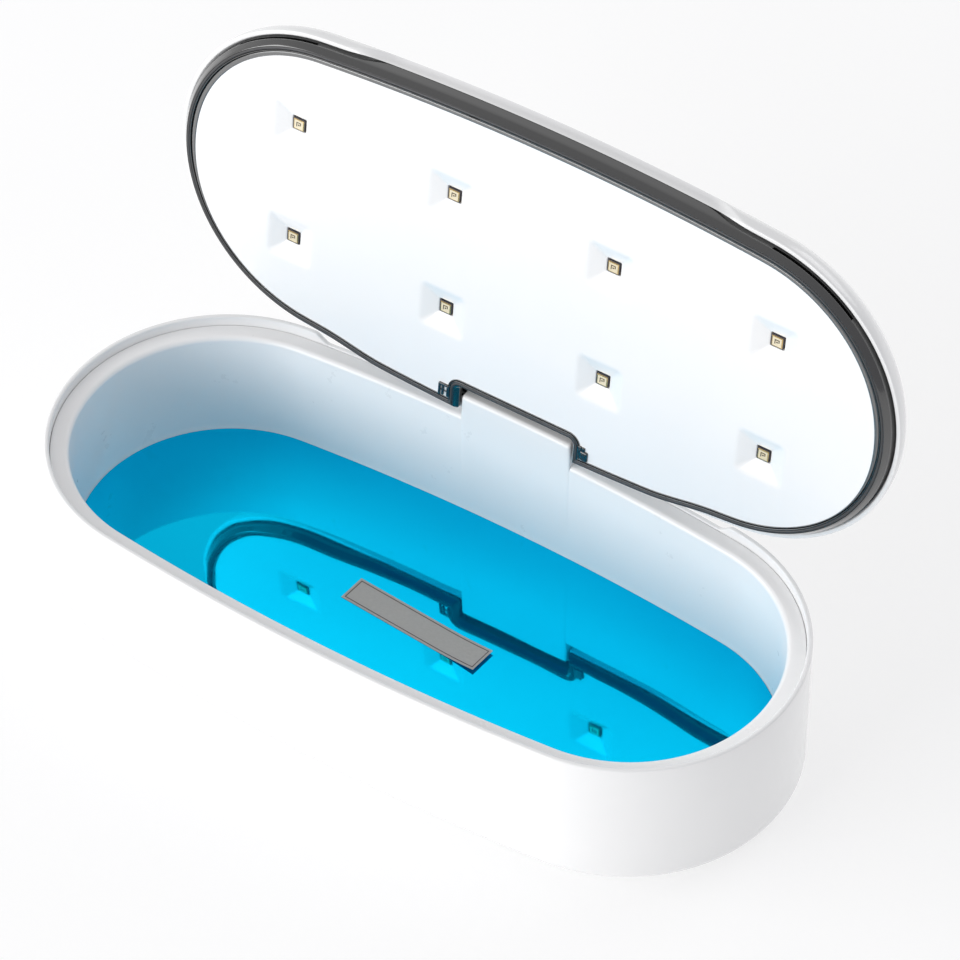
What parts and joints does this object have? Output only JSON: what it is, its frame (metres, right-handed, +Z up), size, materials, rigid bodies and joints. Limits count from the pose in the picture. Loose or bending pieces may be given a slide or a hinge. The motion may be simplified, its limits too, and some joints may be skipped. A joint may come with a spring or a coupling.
{
  "type": "ultraviolet sterilizer box",
  "caption": "Oval white sterilizer box with a blue-filmed mirror floor and a hinged lid of ultraviolet lamps, shown open.",
  "frame": {"origin": "middle of the underside, on the surface that the box stands on", "axes": "+X along the box, +Y towards the hinge, +Z up"},
  "size_m": [0.23, 0.1252, 0.148],
  "materials": {
    "shell_white": "glossy white moulded ABS",
    "tub_white": "satin gloss white moulded ABS",
    "mirror_steel": "polished sheet",
    "blue_film": "glossy cyan protective film over the mirror",
    "label": "plain peel tab with a thin printed border, no lettering",
    "foot_rubber": "matt",
    "screw_steel": "zinc plated",
    "pin_steel": "ground",
    "magnet_plate": "nickel plated",
    "frame_grey": "dark grey satin moulding",
    "seal_grey": "soft grey strip",
    "panel_white": "glossy white reflector",
    "lamp_package": "ceramic package with gold pads and a clear window",
    "board_white": "white solder mask on an aluminium board",
    "board_green": "green solder mask on glass epoxy",
    "black_part": "moulded black part",
    "can_metal": "drawn can",
    "socket_steel": "bright plated",
    "ring_clear": "frosted light guide"
  },
  "bodies": {
    "base": {"base_shell": "shell_white", "inner_tub": "tub_white", "mirror_plate": "mirror_steel", "protective_film": "blue_film", "film_label": "label", "foot_1": "foot_rubber", "foot_2": "foot_rubber", "foot_3": "foot_rubber", "foot_4": "foot_rubber", "base_screws": "screw_steel", "base_magnet_left": "magnet_plate", "base_magnet_right": "magnet_plate", "sensor_magnet": "magnet_plate"},
    "lid": {"lid_shell": "shell_white", "lid_frame": "frame_grey", "lid_seal": "seal_grey", "led_panel": "panel_white", "led_1": "lamp_package", "led_2": "lamp_package", "led_3": "lamp_package", "led_4": "lamp_package", "led_5": "lamp_package", "led_6": "lamp_package", "led_7": "lamp_package", "led_8": "lamp_package", "led_board_front": "board_white", "led_board_back": "board_white", "board_link_front": "black_part", "board_link_back": "black_part", "control_board": "board_green", "driver_chip": "black_part", "power_inductor": "black_part", "filter_capacitor": "can_metal", "usb_socket": "socket_steel", "lid_sensor": "black_part", "lid_magnet_left": "magnet_plate", "lid_magnet_right": "magnet_plate", "frame_screws": "screw_steel", "board_screws": "screw_steel", "hinge_pin_left": "pin_steel", "hinge_pin_right": "pin_steel", "button_switch": "black_part", "light_ring": "ring_clear"},
    "power_button": {"power_button": "shell_white", "switch_stem": "black_part"}
  },
  "joints": [
    {"name": "lid_hinge", "type": "hinge", "parent": "base", "child": "lid", "pos_m": [0, 0.049, 0.0476], "axis": [1, 0, 0], "range_deg": [0, 96.3]},
    {"name": "button_press", "type": "slide", "parent": "lid", "child": "power_button", "axis": [0, 0.994, -0.1097], "range_m": [-0.0006, 0], "stiffness_N_per_m": 1200}
  ]
}
